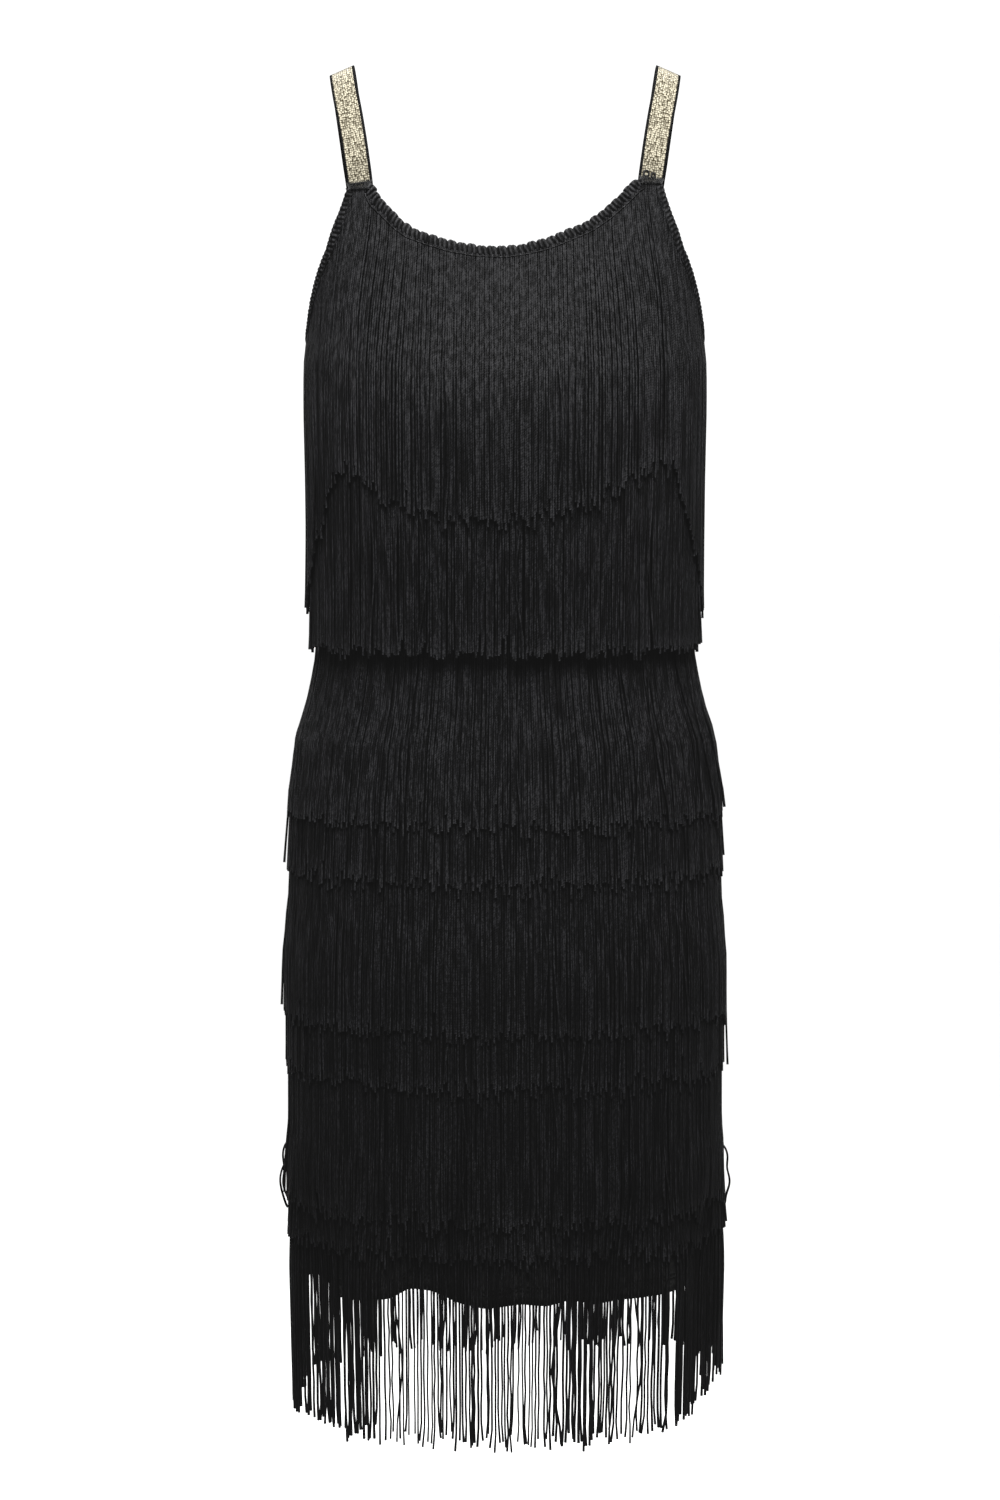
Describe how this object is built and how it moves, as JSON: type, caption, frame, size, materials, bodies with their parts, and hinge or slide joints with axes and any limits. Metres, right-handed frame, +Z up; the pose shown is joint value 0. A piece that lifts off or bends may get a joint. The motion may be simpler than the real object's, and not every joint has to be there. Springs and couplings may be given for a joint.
{
  "type": "flapper dress",
  "caption": "Sleeveless black knee-length flapper dress, worn hollow form, tiers of long hanging fringe over a stretch sheath, gold elastic shoulder straps.",
  "frame": {"origin": "midway between the two straps, at the height where they lie on the wearer's shoulders", "axes": "+Z up, the front of the dress faces -Y, the wearer's left side is +X"},
  "size_m": [0.3334, 0.2487, 0.9934],
  "materials": {
    "jersey": "matt black stretch jersey",
    "fringe": "soft satin black twisted fringe",
    "elastic": "ribbed gold metallic elastic with black edges"
  },
  "bodies": {
    "root": {"front_panel": "jersey", "back_panel": "jersey", "strap_left": "elastic", "strap_right": "elastic", "fringe_neck_front": "fringe", "fringe_armhole_left": "fringe", "fringe_neck_back": "fringe", "fringe_armhole_right": "fringe", "fringe_chest": "fringe", "fringe_waist_upper": "fringe", "fringe_waist_lower": "fringe", "fringe_hip_upper": "fringe", "fringe_hip_lower": "fringe", "fringe_thigh_upper": "fringe", "fringe_thigh_lower": "fringe", "fringe_hem": "fringe"}
  },
  "joints": []
}
